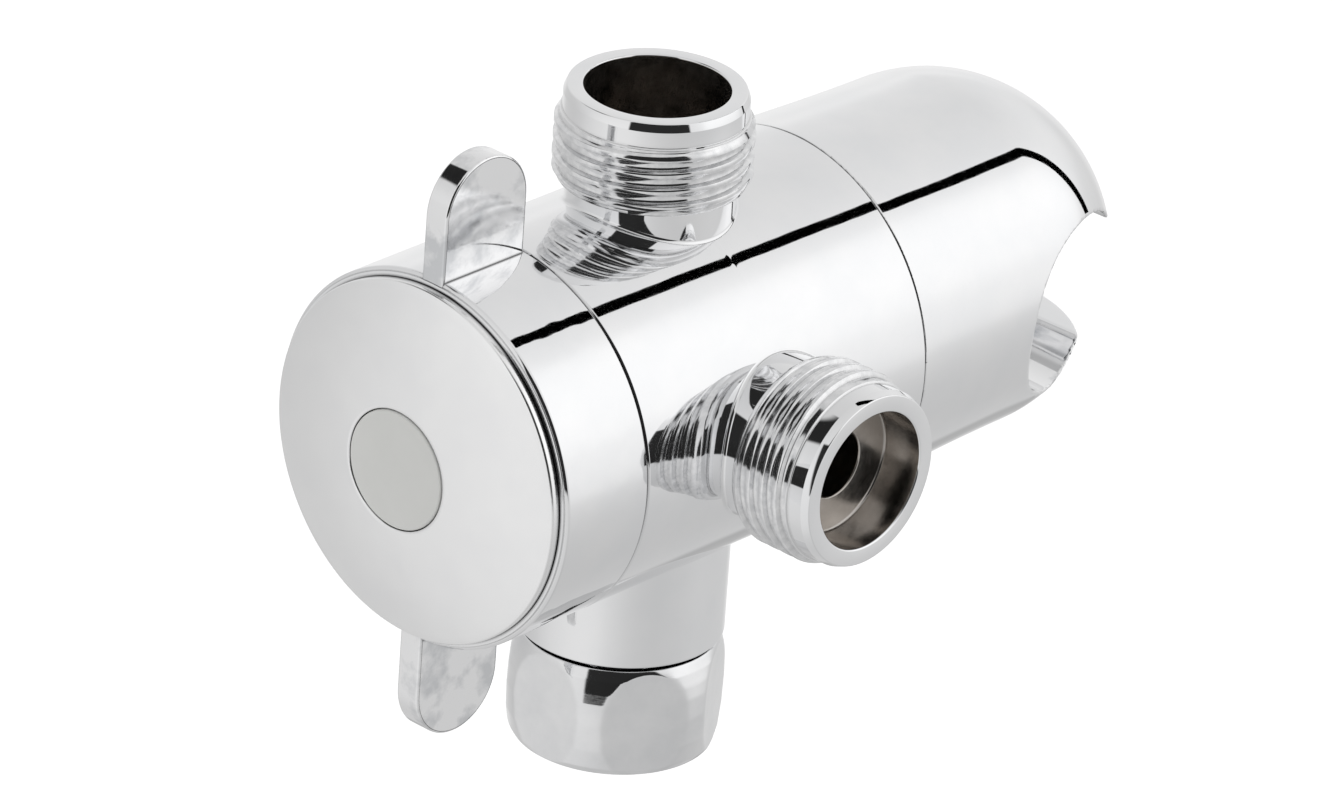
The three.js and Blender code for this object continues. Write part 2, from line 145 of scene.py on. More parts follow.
class Shape:
    """Collects points and faces of one piece, with a material number for each face."""

    def __init__(self):
        self.points, self.faces, self.marks, self.count = [], [], [], 0

    def add(self, points, faces, marks):
        self.points.append(np.asarray(points, float).reshape(-1, 3))
        self.faces.extend([[i + self.count for i in face] for face in faces])
        self.marks.extend(marks)
        self.count += len(self.points[-1])

    def grid(self, rows, flip=False, marks=None, keep=None):
        """A sheet of quads from rows of points. marks gives one material number per row of faces."""
        count, width = rows.shape[:2]
        faces, numbers = [], []
        for i in range(count - 1):
            for j in range(width - 1):
                a = i * width + j
                face = [a, a + 1, a + width + 1, a + width]
                if keep is not None and not keep[i, j]:
                    continue
                faces.append(face[::-1] if flip else face)
                numbers.append(marks[i] if marks is not None else 0)
        self.add(rows, faces, numbers)

    def build(self, name, materials, weighted=True, merge=1.5e-6):
        mesh = bpy.data.meshes.new(name)
        mesh.from_pydata(place(np.concatenate(self.points)).tolist(), [], self.faces)
        for material in materials:
            mesh.materials.append(material)
        mesh.polygons.foreach_set("material_index", self.marks)
        work = bmesh.new()
        work.from_mesh(mesh)
        bmesh.ops.remove_doubles(work, verts=work.verts, dist=merge)
        work.to_mesh(mesh)
        work.free()
        mesh.shade_smooth()
        piece = bpy.data.objects.new(name, mesh)
        bpy.context.scene.collection.objects.link(piece)
        if weighted:
            modifier = piece.modifiers.new("face weighted normals", "WEIGHTED_NORMAL")
            modifier.weight = 60
            modifier.keep_sharp = True
        return piece


def turned(shape, profile, turn=along_x, flip=False, marks=None, columns=ROUND):
    shape.grid(turn(round_rows(profile[:, 0], profile[:, 1], columns)), flip, marks)


# ---------------------------------------------------------------- materials
def node_material(name):
    material = bpy.data.materials.new(name)
    material.use_nodes = True
    tree = material.node_tree
    return material, tree.nodes, tree.links, tree.nodes["Principled BSDF"]


def noise(nodes, links, scale, detail=3.0, roughness=0.55, stretch=None):
    """Noise in the piece's own coordinates. scale counts features in each metre."""
    place_node = nodes.new("ShaderNodeTexCoord")
    texture = nodes.new("ShaderNodeTexNoise")
    texture.inputs["Scale"].default_value = scale
    texture.inputs["Detail"].default_value = detail
    texture.inputs["Roughness"].default_value = roughness
    source = place_node.outputs["Object"]
    if stretch:
        mapping = nodes.new("ShaderNodeMapping")
        mapping.inputs["Scale"].default_value = stretch
        links.new(source, mapping.inputs["Vector"])
        source = mapping.outputs["Vector"]
    links.new(source, texture.inputs["Vector"])
    return texture.outputs["Fac"]


def remap(nodes, links, value, low, high, from_low=0.3, from_high=0.7):
    node = nodes.new("ShaderNodeMapRange")
    node.inputs["From Min"].default_value = from_low
    node.inputs["From Max"].default_value = from_high
    node.inputs["To Min"].default_value = low
    node.inputs["To Max"].default_value = high
    links.new(value, node.inputs["Value"])
    return node.outputs["Result"]


def bump(nodes, links, height, distance, normal=None):
    node = nodes.new("ShaderNodeBump")
    node.inputs["Strength"].default_value = 1.0
    node.inputs["Distance"].default_value = distance
    links.new(height, node.inputs["Height"])
    if normal is not None:
        links.new(normal, node.inputs["Normal"])
    return node.outputs["Normal"]


def painted_crease_shade(nodes, links, colour):
    """Painted shade: darkens a colour in narrow creases, by their ambient occlusion."""
    shade = nodes.new("ShaderNodeAmbientOcclusion")
    shade.samples = 8
    shade.inputs["Distance"].default_value = 0.45 * MM
    scaled = nodes.new("ShaderNodeVectorMath")
    scaled.operation = "SCALE"
    links.new(colour, scaled.inputs[0])
    links.new(remap(nodes, links, shade.outputs["AO"], 0.12, 1.0, 0.45, 0.9), scaled.inputs["Scale"])
    return scaled.outputs["Vector"]


def tint(nodes, links, value, low, high, edges=(0.35, 0.65)):
    """A colour that drifts between two near tones."""
    ramp = nodes.new("ShaderNodeValToRGB")
    for stop, position, colour in zip(ramp.color_ramp.elements, edges, (low, high)):
        stop.position = position
        stop.color = (*colour, 1)
    links.new(value, ramp.inputs["Fac"])
    return ramp.outputs["Color"]


def metal(name, low, high, rough, wave, grain, hairs=None, drift_mm=6.25, edges=(0.35, 0.65)):
    """A metal skin: slow waviness, fine grain, drifting tone and roughness and, if asked, faint hairlines.

    wave and grain are a size in millimetres and a height in microns; hairs is a height and a stretch.
    """
    material, nodes, links, skin = node_material(name)
    skin.inputs["Metallic"].default_value = 1.0
    tone = tint(nodes, links, noise(nodes, links, 1000 / drift_mm, 4), low, high, edges)
    # painted shade in creases darkens the base colour
    links.new(painted_crease_shade(nodes, links, tone), skin.inputs["Base Color"])
    rough_noise = noise(nodes, links, 700, 5, 0.65)
    links.new(remap(nodes, links, rough_noise, *rough), skin.inputs["Roughness"])
    normal = bump(nodes, links, noise(nodes, links, 1000 / wave[0], 1, 0.4), wave[1] * MICRON)
    normal = bump(nodes, links, noise(nodes, links, 1000 / grain[0], 3, 0.6), grain[1] * MICRON, normal)
    if hairs:
        normal = bump(nodes, links, noise(nodes, links, 900, 4, 0.7, hairs[1]), hairs[0] * MICRON, normal)
    links.new(normal, skin.inputs["Normal"])
    return material


def solid(name, low, high, rough, grain):
    """A plastic or rubber: two near tones, drifting roughness and a moulded grain (size, height)."""
    material, nodes, links, skin = node_material(name)
    links.new(tint(nodes, links, noise(nodes, links, 220, 4), low, high), skin.inputs["Base Color"])
    links.new(remap(nodes, links, noise(nodes, links, 900, 4), *rough), skin.inputs["Roughness"])
    height = noise(nodes, links, 1000 / grain[0], 3, 0.6)
    links.new(bump(nodes, links, height, grain[1] * MICRON), skin.inputs["Normal"])
    return material


PLATED = (0.885, 0.89, 0.9), (0.915, 0.915, 0.92)
POLISHED = (0.025, 0.05)
ACROSS, ROUND_ABOUT = (1, 12, 1), (1, 1, 14)      # stretch of the hairlines

chrome = metal("chrome", *PLATED, POLISHED, wave=(6.0, 22.0), grain=(0.7, 0.12))
chrome_cap = metal("chrome_cap", *PLATED, POLISHED, wave=(3.4, 38.0), grain=(0.7, 0.4))
chrome_cast = metal("chrome_thread", (0.76, 0.765, 0.775), (0.92, 0.92, 0.925), (0.06, 0.15),
                    wave=(3.0, 3.0), grain=(0.22, 0.9), drift_mm=1.1)
chrome_worn = metal("chrome_worn", (0.70, 0.71, 0.725), (0.935, 0.935, 0.94), (0.03, 0.09),
                    wave=(3.0, 4.0), grain=(0.3, 0.5), drift_mm=5.0, edges=(0.38, 0.51))
chrome_nut = metal("chrome_nut", (0.80, 0.805, 0.815), (0.88, 0.88, 0.885), (0.03, 0.08),
                   wave=(4.0, 4.0), grain=(0.4, 0.2), hairs=(1.5, ROUND_ABOUT))
satin = metal("satin_chrome", (0.945, 0.945, 0.95), (0.975, 0.975, 0.975), (0.17, 0.22),
              wave=(10.0, 45.0), grain=(0.5, 0.15))
# dull metal for the insides of bores; its dark colour is painted shade
shaded_bore = metal("dark_bore_painted_shade", (0.46, 0.43, 0.40), (0.61, 0.58, 0.55), (0.14, 0.26),
             wave=(3.0, 25.0), grain=(0.5, 2.0))
brass = metal("machined_brass", (0.62, 0.44, 0.17), (0.70, 0.52, 0.23), (0.22, 0.38),
              wave=(3.0, 3.0), grain=(0.2, 1.0), hairs=(1.0, ACROSS))
steel = metal("bright_steel", (0.56, 0.57, 0.58), (0.66, 0.67, 0.68), (0.2, 0.34),
              wave=(3.0, 3.0), grain=(0.2, 1.0), hairs=(1.0, ACROSS))
button_grey = solid("grey_button", (0.95, 0.955, 0.925), (0.975, 0.98, 0.95), (0.42, 0.55), grain=(0.3, 1.0))
rubber = solid("black_rubber", (0.012, 0.012, 0.013), (0.022, 0.022, 0.023), (0.6, 0.8), grain=(0.3, 5.0))
nylon = solid("white_plastic", (0.74, 0.73, 0.69), (0.80, 0.79, 0.75), (0.38, 0.5), grain=(0.3, 3.0))

BY_SLOT = {
    "chrome": chrome, "satin_chrome": satin, "grey_plastic": button_grey, "steel": steel,
    "brass": brass, "rubber": rubber, "white_plastic": nylon,
}
for subpart in frame["record"]["subparts"]:
    mesh = frame["nodes"][subpart["node"]].data
    mesh.materials.clear()
    mesh.materials.append(BY_SLOT[subpart["material_slot"]])


# ---------------------------------------------------------------- valve body
# one pitch of the thread, from root over crest to root: share of the pitch, share of the depth
THREAD_WAVE = [
    (0.0, 0.0), (0.22, 0.0), (0.235, 0.03), (0.25, 0.12), (0.33, 0.88), (0.345, 0.97), (0.36, 1.0),
    (0.66, 1.0), (0.675, 0.97), (0.69, 0.88), (0.77, 0.12), (0.785, 0.03), (0.80, 0.0),
]
MOULD_RIDGE = 0.015


def smooth_step(value):
    value = np.clip(value, 0, 1)
    return value * value * (3 - 2 * value)


def fillet_rows(radius, size=NECK_FILLET, steps=FILLET_STEPS):
    """A rolling-ball fillet between the barrel and a spigot standing on it, from the barrel up."""
    turn = np.linspace(0, 2 * math.pi, ROUND + 1)
    out = np.stack([np.cos(turn), np.sin(turn), 0 * turn], 1)
    centre = out * (radius + size)
    centre[:, 2] = np.sqrt((MAIN_R + size) ** 2 - centre[:, 1] ** 2)
    to_barrel = -np.stack([0 * turn, centre[:, 1], centre[:, 2]], 1) / (MAIN_R + size)
    rows = []
    for i in range(steps + 1):
        mix = (1 - i / steps) * to_barrel - (i / steps) * out
        rows.append(centre + size * mix / np.linalg.norm(mix, axis=1, keepdims=True))
    return np.array(rows)


def thread_rows(low, high, pitch=PITCH, root=ROOT_R, crest=CREST_R, start=0.0):
    """A right-hand helical thread between two heights, fading out at both ends."""
    turn = np.linspace(0, 1, ROUND + 1)
    # a low ridge up both sides, where the halves of the mould met
    seam = np.minimum(np.abs(turn - 0.25), np.abs(turn - 0.75)) < 0.6 / ROUND
    radii, heights = [], []
    for lap in range(int((high - low) / pitch) + 3):
        for phase, rise in THREAD_WAVE:
            free = low + (lap - 1 + phase + turn + start) * pitch
            fade = smooth_step((free - low) / (0.55 * pitch)) * smooth_step((high - free) / (0.45 * pitch))
            radii.append(root + (crest - root) * rise * fade + MOULD_RIDGE * seam)
            heights.append(np.clip(free, low, high))
    return round_rows(radii, heights)


def spigot(shape, face, bore_r, bore_end, hole_r, turn, start):
    """An outlet: fillet, neck, thread, nose, sealing face and stepped water way."""
    thread_high = face - NOSE_LENGTH
    thread_low = thread_high - TURNS * PITCH
    rows = [fillet_rows(NECK_R)]
    neck = rounded([(NECK_R, thread_low - 2.5), (NECK_R, thread_low - 0.02), (ROOT_R, thread_low)], 0.1)
    rows.append(round_rows(neck[1:, 0], neck[1:, 1]))
    rows.append(thread_rows(thread_low, thread_high, start=start))
    nose = rounded([
        (ROOT_R, thread_high), (ROOT_R, thread_high + 0.1, 0.1), (NOSE_R, thread_high + 0.2, 0.1),
        (NOSE_R, face - 0.85, 0.2), (FACE_R, face, 0.16), (bore_r, face, 0.22), (bore_r, face - 2),
    ])
    rows.append(round_rows(nose[1:, 0], nose[1:, 1]))
    outer = sum(len(part) for part in rows) - 3
    inside = rounded([
        (bore_r, face - 2), (bore_r, bore_end, 0.35), (hole_r, bore_end, 0.2), (hole_r, SEAL_POCKET, 0.1),
        (hole_r + SEAL_POCKET_STEP, SEAL_POCKET, 0.1), (hole_r + SEAL_POCKET_STEP, SEAL_POCKET_END),
    ])
    rows.append(round_rows(inside[1:, 0], inside[1:, 1]))
    rows = np.concatenate(rows)
    # polished outside, cast skin on the thread, dull inside, where the dark colour is painted shade
    marks = [0] * (len(rows) - 1)
    first_thread = FILLET_STEPS + len(neck)
    last_thread = first_thread + (int((thread_high - thread_low) / PITCH) + 3) * len(THREAD_WAVE)
    for i in range(first_thread - 1, last_thread):
        marks[i] = 1
    for i in range(outer, len(marks)):
        marks[i] = 2
    shape.grid(turn(rows), flip=False, marks=marks)


def build_body():
    shape = Shape()
    # barrel: the mould seam is a hair-thin ridge, and the skin is open where the spigots stand
    front = rounded([
        (13.0, BODY_FRONT), (MAIN_R - 0.2, BODY_FRONT, 0.05), (MAIN_R, BODY_FRONT + 0.2, 0.15), (MAIN_R, -14),
    ])
    back = rounded([
        (MAIN_R, 14), (MAIN_R, JOINT_BACK - 0.08, 0.08), (MAIN_R - 0.1, JOINT_BACK, 0.04), (15.2, JOINT_BACK),
    ])
    middle = [[MAIN_R, x] for x in np.arange(-13.5, 13.6, BARREL_STEP) if abs(x - SEAM_X) > 0.3]
    middle += [[MAIN_R, SEAM_X - 0.14], [MAIN_R + 0.006, SEAM_X], [MAIN_R + 0.004, SEAM_X + 0.06],
               [MAIN_R, SEAM_X + 0.18]]
    middle.sort(key=lambda point: point[1])
    profile = np.concatenate([front, middle, back])
    rows = along_x(round_rows(profile[:, 0], profile[:, 1]))
    centre = (rows[:-1, :-1] + rows[1:, 1:]) / 2
    x, y, z = centre[..., 0], centre[..., 1], centre[..., 2]
    at_top = (np.hypot(x, y) < NECK_R - SKIN_OVERLAP) & (z > 0)
    at_side = (np.hypot(x, z) < NECK_R - SKIN_OVERLAP) & (y < 0)
    at_inlet = (np.hypot(x, y) < INLET_NECK_R - SKIN_OVERLAP) & (z < 0)
    shape.grid(rows, flip=True, keep=~(at_top | at_side | at_inlet))
    spigot(shape, TOP_FACE, TOP_BORE_R, TOP_BORE_END, TOP_HOLE_R, turn=lambda p: p, start=0.42)
    spigot(shape, SIDE_FACE, SIDE_BORE_R, SIDE_BORE_END, SIDE_HOLE_R, turn=to_side, start=0.35)
    # inlet neck, shoulder and the tail that carries the nut
    neck = rounded([
        (INLET_NECK_R, 24), (INLET_NECK_R, -INLET_NECK_END, 0.3), (TAIL_R, -INLET_NECK_END, 0.2),
        (TAIL_R, 32.8, 0.05), (6.6, 32.8, 0.05), (6.6, 34.0, 0.05), (TAIL_R, 34.0, 0.05),
        (TAIL_R, -TAIL_END, 0.2), (TAIL_BORE_R, -TAIL_END, 0.2), (TAIL_BORE_R, 12),
    ])
    rows = np.concatenate([fillet_rows(INLET_NECK_R), round_rows(neck[1:, 0], neck[1:, 1])])
    marks = [0] * (len(rows) - 1)
    # the inside of the tail takes the dull metal whose dark colour is painted shade
    marks[-1] = 2
    shape.grid(to_below(rows), marks=marks)
    # recess and boss behind the cradle's hub
    recess = rounded([
        (15.2, JOINT_BACK), (15.2, 12.7, 0.3), (6.2, 12.7, 0.3), (6.2, 20.7, 0.3),
        (2.5, 20.7, 0.1), (2.5, 14),
    ])
    turned(shape, recess, flip=True)
    return shape.build("body_shell", [chrome, chrome_cast, shaded_bore])


# ---------------------------------------------------------------- knob
def build_knob():
    shape = Shape()
    seat, web = KNOB_FRONT + 1.5, KNOB_FRONT + 4
    profile = rounded([
        (2.3, seat), (PLATE_R + 0.2, seat, 0.15), (PLATE_R + 0.22, KNOB_FRONT - 0.1, 0.04),
        (MAIN_R - 0.48, KNOB_FRONT - 0.1, 0.07),
        (MAIN_R - 0.45, KNOB_FRONT + 0.1, 0.04), (MAIN_R - 0.3, KNOB_FRONT + 0.1, 0.05),
        (MAIN_R - 0.05, KNOB_FRONT + 0.3, 0.09), (MAIN_R, KNOB_FRONT + 0.5, 0.1),
        (MAIN_R, JOINT_FRONT - 0.2, 0.15), (MAIN_R - 0.2, JOINT_FRONT, 0.05), (18.2, JOINT_FRONT, 0.2),
        (18.2, web, 0.3), (7.5, web, 0.3), (7.5, KNOB_BACK - 0.35, 0.2), (4.7, KNOB_BACK - 0.35),
    ])
    turned(shape, profile, flip=False)
    for side in (1, -1):
        wing(shape, side)
    return shape.build("knob_shell", [chrome_cap, chrome_worn])


def wing(shape, side):
    """A D-shaped wing with rounded edges, standing on the knob's rim."""
    front = KNOB_FRONT - 0.01
    half, middle = (KNOB_BACK - front) / 2, (KNOB_BACK + front) / 2
    bevel, steps = 0.3, 4
    rows = []
    for face in (1, -1):
        for i in range(steps + 1):
            angle = math.pi / 2 * (i / steps if face > 0 else 1 - i / steps)
            inset = bevel * (1 - math.sin(angle))
            y = face * (WING_THICK / 2 - bevel * (1 - math.cos(angle)))
            tip = [(half - inset) * np.array([math.cos(a), math.sin(a)]) for a in np.linspace(0, math.pi, 49)]
            line = [(middle + half - inset, y, WING_ROOT)]
            line += [(middle + p[0], y, WING_REACH - half + p[1]) for p in tip]
            line += [(middle - half + inset, y, WING_ROOT)]
            rows.append(line)
    rows = np.array(rows) * [1, 1, side]
    shape.grid(rows, flip=side > 0, marks=[1] * (len(rows) - 1))
    width = rows.shape[1]
    for row, order in ((0, side > 0), (len(rows) - 1, side < 0)):
        points = rows[row]
        # the broad face is a ladder of quads, so that its shading stays even
        pairs = width // 2
        faces = [[i, i + 1, width - 2 - i, width - 1 - i] for i in range(pairs - 1)]
        if width % 2:
            faces.append([pairs - 1, pairs, pairs + 1])
        shape.add(points, [face[::-1] if order else face for face in faces], [1] * len(faces))


def dome_at(radius):
    return KNOB_FRONT - 1 - DOME_RISE * (1 - (radius / PLATE_EDGE_R) ** DOME_POWER)


def build_face_plate():
    shape = Shape()
    edge = BUTTON_R + 0.09
    ledge = dome_at(edge) + 1.25
    radii = np.linspace(edge + 0.12, PLATE_EDGE_R - 1.1, 40)
    rim_back, seat = KNOB_FRONT - 0.16, KNOB_FRONT + 1.35
    dome = [(edge, ledge, 0), (edge, dome_at(edge) + 0.12, 0.05)]
    dome += [(r, dome_at(r), 0) for r in radii]
    dome += [(PLATE_EDGE_R, dome_at(PLATE_EDGE_R) - 0.05, 0.28), (PLATE_EDGE_R, rim_back, 0.05)]
    dome += [(PLATE_R, rim_back, 0.1), (PLATE_R, seat, 0.1), (17.2, seat, 0.1)]
    dome += [(15.0, dome_at(15.0) + 1.3, 0.5), (11.0, dome_at(11.0) + 1.3, 0.5)]
    dome += [(6.2, ledge + 1.1, 0.1), (5.1, ledge + 1.1, 0.1), (5.1, ledge, 0.1), (edge, ledge, 0)]
    turned(shape, rounded(dome, 0.1, 3), flip=True)
    return shape.build("face_plate", [satin])


def build_button():
    shape = Shape()
    front = dome_at(BUTTON_R) - 0.05
    back = dome_at(BUTTON_R + 0.15) + 1.15
    top = [(0.0, front - 0.06), (2.5, front - 0.05), (4.5, front - 0.02)]
    profile = rounded([*top, (BUTTON_R, front + 0.02, 0.28), (BUTTON_R, back, 0.1), (4.8, back, 0.1),
                       (4.8, back + 1.3, 0.1), (0.0, back + 1.3)], 0.0, 5)
    turned(shape, profile, flip=True)
    return shape.build("button", [button_grey])


# ---------------------------------------------------------------- swivel nut
def build_nut():
    shape = Shape()
    outer = rounded([
        (NUT_ROOT_R, NUT_BOTTOM, 0.1), (10.75, NUT_BOTTOM, 0.25), (11.2, NUT_BOTTOM + 0.75, 0.8),
        (11.62, NUT_BOTTOM + 3.0, 3.0), (11.76, NUT_BOTTOM + 6.0, 4.0), (11.64, NUT_TOP - 3.9, 2.0),
        (11.42, NUT_TOP - 2.4, 1.5), (11.1, NUT_TOP - 1.1, 1.5), (10.62, NUT_TOP, 0.2),
        (NUT_NECK_R, NUT_TOP, 0.2), (NUT_NECK_R, NUT_TOP - NUT_LIP),
    ], steps=6)
    turn = np.linspace(0, 2 * math.pi, ROUND + 1)
    from_flat = np.abs((turn + math.pi / 6) % (math.pi / 3) - math.pi / 6)
    flat = FLAT_DISTANCE / np.cos(from_flat)
    # extra rows give the curved edge of each flat its true outline
    rows_in = []
    for (r0, z0), (r1, z1) in zip(outer, outer[1:]):
        parts = max(1, int(abs(z1 - z0) / 0.25)) if r0 > 10.4 and r1 > 10.4 else 1
        rows_in += [(r0 + (r1 - r0) * i / parts, z0 + (z1 - z0) * i / parts) for i in range(parts)]
    rows_in.append(tuple(outer[-1]))
    radii = []
    for radius, _ in rows_in:
        gap = np.clip(0.5 + (flat - radius) / 0.16, 0, 1)
        radii.append(flat * (1 - gap) + radius * gap - 0.08 * gap * (1 - gap))
    shape.grid(round_rows(radii, [z for _, z in rows_in]), flip=False)
    lip_back = NUT_TOP - NUT_LIP
    inner = rounded([(NUT_NECK_R, lip_back), (NUT_ROOT_R, lip_back), (NUT_ROOT_R, THREAD_TOP)], 0.1)
    shape.grid(round_rows(inner[:, 0], inner[:, 1]), flip=False)
    low = NUT_BOTTOM + 0.5
    rows = thread_rows(low, THREAD_TOP, root=NUT_ROOT_R, crest=NUT_CREST_R, start=0.2)
    shape.grid(rows, flip=True, marks=[1] * (len(rows) - 1))
    lip = rounded([(NUT_ROOT_R, low), (NUT_ROOT_R, NUT_BOTTOM, 0.15), (10.2, NUT_BOTTOM)])
    shape.grid(round_rows(lip[:, 0], lip[:, 1]), flip=False)
    return shape.build("nut_shell", [chrome_nut, chrome_cast])


# ---------------------------------------------------------------- handset cradle
def round_max(a, b, size):
    """Intersection of two solids with the shared edge rounded."""
    inside = np.minimum(-size, np.maximum(a, b))
    return inside + np.hypot(np.maximum(size + a, 0), np.maximum(size + b, 0))


def grip_radius(y):
    """The handset's seat narrows towards the back."""
    return (CRADLE_R_WIDE + CRADLE_R_NARROW) / 2 - (CRADLE_R_WIDE - CRADLE_R_NARROW) * y / 42


def cradle_field(p):
    """Signed distance to the cradle's skin, negative inside."""
    x, y, z = p[..., 0], p[..., 1], p[..., 2]
    rho = np.hypot(y, z)
    back = np.clip((DOME_CENTRE - x) / (DOME_CENTRE - BRACKET_FRONT), 0, 1)
    reach = np.maximum(x - DOME_CENTRE, 0)
    shell = np.sqrt(rho ** 2 + reach ** 2) - (DOME_R + (MAIN_R - DOME_R) * back ** 1.6)
    shell = round_max(shell, BRACKET_FRONT - x, 0.14)
    grip = np.hypot(x - CRADLE_X, z - CRADLE_Z) - grip_radius(y)
    middle, half = (SLOT_HIGH + SLOT_LOW) / 2, (SLOT_HIGH - SLOT_LOW) / 2
    slot = np.maximum(np.abs(z - middle) - half, CRADLE_X - x)
    sink = np.maximum(rho - SINK_R, np.maximum(SINK_X - x, x - CRADLE_X))
    cut = -round_max(-grip, -slot, 0.5)
    cut = np.minimum(cut, sink)
    return round_max(shell, -cut, 0.38)


def field_slope(field, p, step=1e-4):
    slope = np.empty_like(p)
    for k in range(3):
        ahead, behind = p.copy(), p.copy()
        ahead[..., k] += step
        behind[..., k] -= step
        slope[..., k] = (field(ahead) - field(behind)) / (2 * step)
    return slope


def surface_net(field, low, high, cell):
    """Quads on the zero level of a field: one point in each crossed cell, then slid on to the surface."""
    axes = [np.arange(a, b + cell, cell) for a, b in zip(low, high)]
    grid = np.stack(np.meshgrid(*axes, indexing="ij"), -1)
    inside = field(grid) < 0
    corners = [inside[i:i - 1 or None, j:j - 1 or None, k:k - 1 or None]
               for i in (0, 1) for j in (0, 1) for k in (0, 1)]
    total = sum(c.astype(np.int8) for c in corners)
    crossed = (total > 0) & (total < 8)
    number = -np.ones(crossed.shape, int)
    number[crossed] = np.arange(crossed.sum())
    points = grid[:-1, :-1, :-1][crossed] + cell / 2
    quads = []
    for k in range(3):
        a, b = [n for n in range(3) if n != k]
        here = [slice(1, -1)] * 3
        there = [slice(1, -1)] * 3
        here[k], there[k] = slice(0, -1), slice(1, None)
        first, second = inside[tuple(here)], inside[tuple(there)]
        place_of = np.argwhere(first != second)
        leaving = first[first != second]
        place_of[:, a] += 1
        place_of[:, b] += 1
        around = []
        for da, db in ((0, 0), (-1, 0), (-1, -1), (0, -1)):
            spot = place_of.copy()
            spot[:, a] += da
            spot[:, b] += db
            around.append(number[spot[:, 0], spot[:, 1], spot[:, 2]])
        quad = np.stack(around, 1)
        turn_round = leaving if k != 1 else ~leaving
        quad[~turn_round] = quad[~turn_round][:, ::-1]
        quads.append(quad)
    quads = np.concatenate(quads)
    for _ in range(7):
        slope = field_slope(field, points)
        square = np.maximum((slope ** 2).sum(1), 0.2)
        points -= np.clip(field(points) / square, -cell, cell)[:, None] * slope
    slope = field_slope(field, points)
    return points, quads, slope / np.linalg.norm(slope, axis=1, keepdims=True)


def build_cradle():
    low = (BRACKET_FRONT - 1, -MAIN_R - 1, -MAIN_R - 1)
    high = (FIELD_END, MAIN_R + 1, MAIN_R + 1)
    points, quads, normals = surface_net(cradle_field, low, high, CRADLE_CELL)
    mesh = bpy.data.meshes.new("cradle_shell")
    mesh.from_pydata(place(points).tolist(), [], quads.tolist())
    mesh.materials.append(chrome)
    mesh.materials.append(chrome_worn)
    # the seat that holds the handset is worn
    x, y, z = points[quads].mean(1).T
    from_seat = np.hypot(x - CRADLE_X, z - CRADLE_Z) - grip_radius(y)
    mesh.polygons.foreach_set("material_index", (np.abs(from_seat) < 0.2).astype(int))
    mesh.shade_smooth()
    mesh.normals_split_custom_set_from_vertices(normals.tolist())
    piece = bpy.data.objects.new("cradle_shell", mesh)
    bpy.context.scene.collection.objects.link(piece)
    return piece


# ---------------------------------------------------------------- pieces on the frame
for build, node, body, slot in (
    (build_body, "valve_body", "housing", "chrome"),
    (build_knob, "knob", "knob_group", "chrome"),
    (build_face_plate, "knob_face_plate", "knob_group", "satin_chrome"),
    (build_button, "knob_button", "knob_group", "grey_plastic"),
    (build_nut, "swivel_nut", "nut", "chrome"),
    (build_cradle, "cradle_bracket", "cradle", "chrome"),
):
    piece = build()
    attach(piece, body)
    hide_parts(node)


# ---------------------------------------------------------------- floor, light and camera
def stage_mesh(name, points, faces, material, camera=True, glossy=False):
    mesh = bpy.data.meshes.new(name)
    mesh.from_pydata([tuple(p) for p in points], [], faces)
    mesh.materials.append(material)
    piece = bpy.data.objects.new(name, mesh)
    bpy.context.scene.collection.objects.link(piece)
    piece.visible_camera = camera
    piece.visible_glossy = glossy
    piece.visible_diffuse = False
    piece.visible_shadow = False
    piece.visible_transmission = camera
    return piece


def floor_material():
    """White paper with some light of its own, which keeps it white; no shadow shows on it."""
    material, _, _, skin = node_material("studio_paper")
    skin.inputs["Base Color"].default_value = (0.9, 0.9, 0.9, 1)
    skin.inputs["Roughness"].default_value = 0.9
    skin.inputs["Emission Color"].default_value = (1, 1, 1, 1)
    skin.inputs["Emission Strength"].default_value = 0.5
    return material


def plain_glow(name, strength):
    material, _, _, skin = node_material(name)
    skin.inputs["Base Color"].default_value = (0, 0, 0, 1)
    skin.inputs["Roughness"].default_value = 1.0
    skin.inputs["Specular IOR Level"].default_value = 0.0
    skin.inputs["Emission Color"].default_value = (1, 1, 1, 1)
    skin.inputs["Emission Strength"].default_value = strength
    return material


FLOOR_Z, FLOOR_HALF = -0.045, 6.0
floor = [(x * FLOOR_HALF, y * FLOOR_HALF, FLOOR_Z) for x, y in ((-1, -1), (1, -1), (1, 1), (-1, 1))]
stage_mesh("floor", floor, [(0, 1, 2, 3)], floor_material())

WALL_R, WALL_TOP, WALL_PARTS = 4.0, 6.0, 64
wall_turn = np.linspace(0, 2 * math.pi, WALL_PARTS + 1)
wall = [(WALL_R * math.cos(a), WALL_R * math.sin(a), z) for z in (FLOOR_Z - 0.1, WALL_TOP) for a in wall_turn]
row_length = len(wall_turn)
wall_faces = [(i, i + 1, i + 1 + row_length, i + row_length) for i in range(WALL_PARTS)]
stage_mesh("backdrop", wall, wall_faces, plain_glow("backdrop_white", 1.0))

# a black ribbon draws the one dark line along the valve's upper front: it starts above the cradle, runs
# level away from the knob and then comes down in a quarter ellipse
RIBBON_START, RIBBON_BEND, RIBBON_END, RIBBON_TOP, RIBBON_HALF = 35, 130, 199, 123, 6.6
RIBBON_SIDE, RIBBON_SLANT, RIBBON_FOOT_SIDE = -22, -0.172, -45.5
ribbon_line = []
for x in np.linspace(RIBBON_START, RIBBON_BEND, 5):
    ribbon_line.append((x, RIBBON_SIDE + RIBBON_SLANT * x, RIBBON_TOP + 1))
for angle in np.linspace(math.pi / 2, 0, 17)[1:]:
    x = RIBBON_BEND + (RIBBON_END - RIBBON_BEND) * math.cos(angle)
    ribbon_line.append((x, RIBBON_FOOT_SIDE, RIBBON_TOP * math.sin(angle)))
ribbon = [tuple(place((x, y + side * RIBBON_HALF, z))) for side in (-1, 1) for x, y, z in ribbon_line]
count = len(ribbon_line)
ribbon_faces = [(i, i + 1, i + 1 + count, i + count) for i in range(count - 1)]
